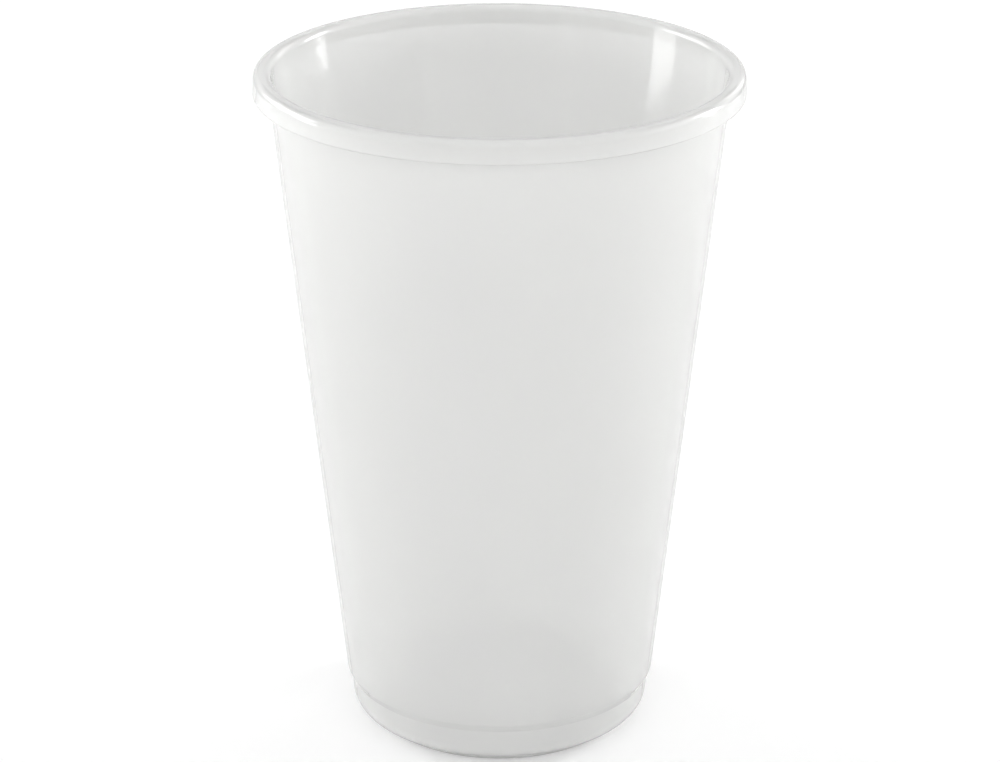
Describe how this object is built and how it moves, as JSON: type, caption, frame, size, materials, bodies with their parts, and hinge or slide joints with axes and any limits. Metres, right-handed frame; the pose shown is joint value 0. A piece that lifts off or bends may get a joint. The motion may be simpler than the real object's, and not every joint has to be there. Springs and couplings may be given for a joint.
{
  "type": "reusable drinking cup",
  "caption": "Tall tapered translucent cup with a turned-over rim, a stacking shoulder, a slanted heel and a raised base panel.",
  "frame": {"origin": "centre of the foot ring, on the surface that the cup stands on", "axes": "+Z along the cup's axis, from the foot up to the rim; the cup is round, so X and Y are free"},
  "size_m": [0.095, 0.095, 0.136],
  "materials": {
    "translucent_plastic": "clear polypropylene with a fine matt surface, slightly milky"
  },
  "bodies": {
    "root": {"cup": "translucent_plastic"}
  },
  "joints": []
}
